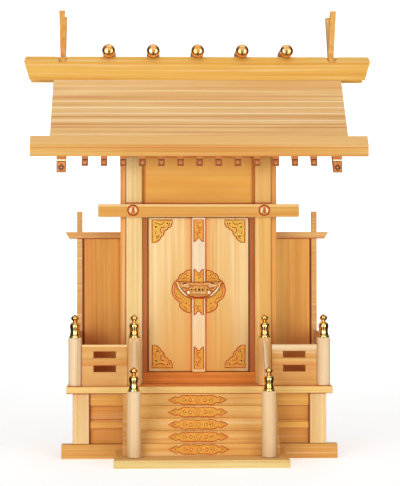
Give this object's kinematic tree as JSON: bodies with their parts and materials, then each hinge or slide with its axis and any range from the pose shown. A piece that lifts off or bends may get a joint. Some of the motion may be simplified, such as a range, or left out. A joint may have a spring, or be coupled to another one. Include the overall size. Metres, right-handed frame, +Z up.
{
  "type": "kamidana household altar",
  "caption": "Plain cypress household Shinto altar: a gabled shrine with double doors, brass fittings, railed veranda and stairs.",
  "frame": {"origin": "on the surface that the altar stands on, at the middle of its footprint", "axes": "+Z up, -Y out of the doors and down the stairs, +X to the right seen from the front"},
  "size_m": [0.3966, 0.2274, 0.502],
  "materials": {
    "pale_cypress": "planed, unvarnished",
    "door_cypress": "planed, unvarnished, upright grain",
    "roof_cypress": "planed, unvarnished, grain along the ridge",
    "deep_cypress": "planed, unvarnished",
    "red_cypress": "planed, unvarnished",
    "brass": "polished"
  },
  "bodies": {
    "altar": {"base_board": "pale_cypress", "foot_board": "pale_cypress", "base_post_left": "pale_cypress", "base_post_right": "pale_cypress", "base_front_panel_left": "pale_cypress", "base_front_panel_right": "pale_cypress", "base_side_panel_left": "pale_cypress", "base_side_panel_right": "pale_cypress", "base_back_board": "pale_cypress", "veranda_floor": "pale_cypress", "staircase": "pale_cypress", "rail_post_outer_left": "pale_cypress", "rail_post_outer_right": "pale_cypress", "rail_post_upper_left": "pale_cypress", "rail_post_upper_right": "pale_cypress", "rail_post_lower_left": "pale_cypress", "rail_post_lower_right": "pale_cypress", "finial_outer_left": "brass", "finial_outer_right": "brass", "finial_upper_left": "brass", "finial_upper_right": "brass", "finial_lower_left": "brass", "finial_lower_right": "brass", "front_railing_left": "pale_cypress", "front_railing_right": "pale_cypress", "side_railing_left": "pale_cypress", "side_railing_right": "pale_cypress", "stair_rail_left": "pale_cypress", "stair_rail_right": "pale_cypress", "wing_frame_left": "pale_cypress", "wing_frame_right": "pale_cypress", "wing_panel_left": "deep_cypress", "wing_panel_right": "deep_cypress", "pillar_left": "pale_cypress", "pillar_right": "pale_cypress", "side_wall_left": "roof_cypress", "side_wall_right": "roof_cypress", "back_wall": "roof_cypress", "door_sill": "red_cypress", "door_frame": "red_cypress", "upper_panel": "deep_cypress", "lintel": "pale_cypress", "roof_front": "roof_cypress", "roof_back": "roof_cypress", "eave_front": "roof_cypress", "eave_back": "roof_cypress", "ridge_beam": "roof_cypress", "ridge_log_1": "pale_cypress", "ridge_log_2": "pale_cypress", "ridge_log_3": "pale_cypress", "ridge_log_4": "pale_cypress", "ridge_log_5": "pale_cypress", "crossed_board_left_front": "roof_cypress", "crossed_board_left_back": "roof_cypress", "crossed_board_right_front": "roof_cypress", "crossed_board_right_back": "roof_cypress"},
    "right_leaf": {"door_right": "door_cypress", "door_strip": "pale_cypress", "door_lock": "brass"},
    "left_leaf": {"door_left": "door_cypress"}
  },
  "joints": [
    {"name": "right_door_hinge", "type": "hinge", "parent": "altar", "child": "right_leaf", "pos_m": [0.0562, 0.00965, 0.18], "axis": [0, 0, 1], "range_deg": [0, 90]},
    {"name": "left_door_hinge", "type": "hinge", "parent": "altar", "child": "left_leaf", "pos_m": [-0.0562, 0.00965, 0.18], "axis": [0, 0, -1], "range_deg": [0, 90]}
  ],
  "couplings": [
    {"joint": "left_door_hinge", "follows": "right_door_hinge", "ratio": 1}
  ]
}
